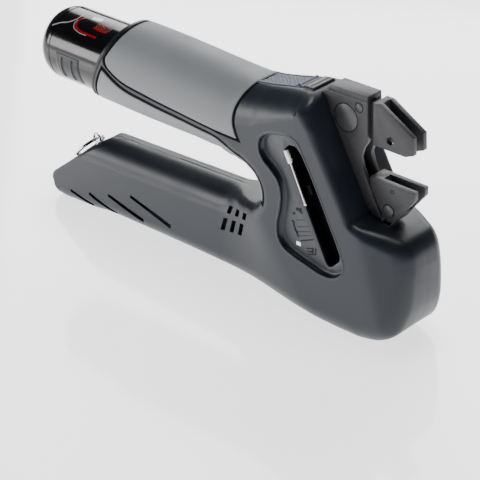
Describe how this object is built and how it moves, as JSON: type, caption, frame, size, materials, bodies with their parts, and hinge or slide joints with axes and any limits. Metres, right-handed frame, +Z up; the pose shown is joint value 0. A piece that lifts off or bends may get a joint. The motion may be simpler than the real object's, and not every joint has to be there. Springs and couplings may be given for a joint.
{
  "type": "cordless crimping tool",
  "caption": "Battery-powered hand crimping tool with a soft upper grip, a lower handle, and a steel head with fixed and moving jaws.",
  "frame": {"origin": "centre of the overall box, on the surface the tool rests on", "axes": "+X towards the crimping head, +Y to the far side, +Z up"},
  "size_m": [0.3014, 0.052, 0.148],
  "materials": {
    "charcoal_housing": "satin moulded",
    "soft_grip": "matt soft-touch",
    "black_trim": "gloss",
    "battery_black": "gloss",
    "battery_accent": "printed red with silver edge",
    "panel_black": "fine spark texture",
    "button_blue_grey": "ribbed matt",
    "head_steel": "blackened tool steel",
    "bolt_steel": "ground, blackened",
    "bright_steel": "ground",
    "chrome_ring": "polished",
    "motor_steel": "zinc plated",
    "gear_steel": "hardened",
    "bronze": "machined",
    "cell_wrap": "shrink wrap",
    "board_green": "solder mask",
    "chip_black": "moulded",
    "copper": "tin plated",
    "screw_black": "black oxide",
    "scale_print": "printed",
    "lamp_white": "translucent",
    "mesh_black": "woven",
    "foot_rubber": "matt"
  },
  "bodies": {
    "tool": {"housing_near": "charcoal_housing", "housing_far": "charcoal_housing", "grip_cover_near": "soft_grip", "grip_cover_far": "soft_grip", "grip_underside": "soft_grip", "gap_liner": "soft_grip", "rear_collar": "black_trim", "head_plate_near": "head_steel", "head_plate_far": "head_steel", "head_core": "head_steel", "upper_jaw": "head_steel", "ram_guide": "bronze", "main_bolt": "bolt_steel", "lock_pin": "bolt_steel", "motor_can": "motor_steel", "ring_gear": "gear_steel", "gearbox_case": "black_trim", "screw_bearing": "bronze", "carriage_rail": "gear_steel", "circuit_board": "board_green", "board_chips": "chip_black", "switch_module": "chip_black", "button_spring": "bright_steel", "terminal_block": "chip_black", "terminal_blades": "copper", "bay_liner": "black_trim", "side_panel": "panel_black", "key_clip": "chip_black", "setting_scale": "scale_print", "lamp_lens": "lamp_white", "foot_pad": "foot_rubber", "ring_eye": "chrome_ring", "housing_screws": "screw_black", "vent_mesh": "mesh_black"},
    "rotor_unit": {"rotor": "gear_steel"},
    "planet_1": {"planet_gear_1": "gear_steel"},
    "planet_2": {"planet_gear_2": "gear_steel"},
    "planet_3": {"planet_gear_3": "gear_steel"},
    "screw_unit": {"planet_carrier": "gear_steel", "lead_screw": "bright_steel"},
    "wedge": {"wedge_carriage": "gear_steel"},
    "ram": {"lower_jaw": "head_steel", "ram_bar": "gear_steel", "roller_pin": "gear_steel", "jaw_pin": "bolt_steel"},
    "roller": {"ram_roller": "gear_steel"},
    "battery": {"battery_case": "battery_black", "battery_end_cap": "battery_black", "battery_cells": "cell_wrap", "battery_trim": "battery_accent"},
    "latch_near": {"battery_latch_near": "battery_black"},
    "latch_far": {"battery_latch_far": "battery_black"},
    "button": {"thumb_button": "button_blue_grey"},
    "ring": {"key_ring": "chrome_ring"},
    "key": {"service_key": "bright_steel"}
  },
  "joints": [
    {"name": "rotor_spin", "type": "hinge", "parent": "tool", "child": "rotor_unit", "pos_m": [-0.038, 0, 0.029], "axis": [1, 0, 0], "range_deg": [0, 5186]},
    {"name": "screw_spin", "type": "hinge", "parent": "tool", "child": "screw_unit", "pos_m": [0, 0, 0.029], "axis": [1, 0, 0], "range_deg": [0, 1296.5]},
    {"name": "planet_spin_1", "type": "hinge", "parent": "screw_unit", "child": "planet_1", "pos_m": [-0.007, 0, 0.0362], "axis": [1, 0, 0], "range_deg": [-3889, 0]},
    {"name": "planet_spin_2", "type": "hinge", "parent": "screw_unit", "child": "planet_2", "pos_m": [-0.007, 0.00624, 0.0254], "axis": [1, 0, 0], "range_deg": [-3889, 0]},
    {"name": "planet_spin_3", "type": "hinge", "parent": "screw_unit", "child": "planet_3", "pos_m": [-0.007, -0.00624, 0.0254], "axis": [1, 0, 0], "range_deg": [-3889, 0]},
    {"name": "wedge_travel", "type": "slide", "parent": "tool", "child": "wedge", "axis": [1, 0, 0], "range_m": [0, 0.018]},
    {"name": "jaw_travel", "type": "slide", "parent": "tool", "child": "ram", "axis": [0, 0, 1], "range_m": [0, 0.01801]},
    {"name": "roller_spin", "type": "hinge", "parent": "ram", "child": "roller", "pos_m": [0.1173, 0, 0.03561], "axis": [0, 1, 0], "range_deg": [-244.09, 0]},
    {"name": "battery_slide", "type": "slide", "parent": "tool", "child": "battery", "axis": [-1, 0, 0], "range_m": [0, 0.1]},
    {"name": "latch_near_press", "type": "slide", "parent": "battery", "child": "latch_near", "axis": [0, 1, 0], "range_m": [0, 0.0012], "stiffness_N_per_m": 800, "springref_m": -0.002},
    {"name": "latch_far_press", "type": "slide", "parent": "battery", "child": "latch_far", "axis": [0, -1, 0], "range_m": [0, 0.0012], "stiffness_N_per_m": 800, "springref_m": -0.002},
    {"name": "button_press", "type": "slide", "parent": "tool", "child": "button", "axis": [0, 0, -1], "range_m": [0, 0.002], "stiffness_N_per_m": 900, "springref_m": -0.002, "deforming": ["button_spring"]},
    {"name": "ring_swing", "type": "hinge", "parent": "tool", "child": "ring", "pos_m": [-0.12038, 0, 0.04478], "axis": [0, 1, 0], "range_deg": [0, 150]},
    {"name": "key_pull", "type": "slide", "parent": "tool", "child": "key", "axis": [0, -1, 0], "range_m": [0, 0.03]}
  ],
  "couplings": [
    {"joint": "jaw_travel", "follows": "wedge_travel", "ratio": 1},
    {"joint": "screw_spin", "follows": "wedge_travel", "rad_per_m": 1256.6},
    {"joint": "rotor_spin", "follows": "wedge_travel", "rad_per_m": 5026.5},
    {"joint": "planet_spin_1", "follows": "wedge_travel", "rad_per_m": -3769.9},
    {"joint": "planet_spin_2", "follows": "wedge_travel", "rad_per_m": -3769.9},
    {"joint": "planet_spin_3", "follows": "wedge_travel", "rad_per_m": -3769.9},
    {"joint": "roller_spin", "follows": "wedge_travel", "rad_per_m": -235.7}
  ]
}
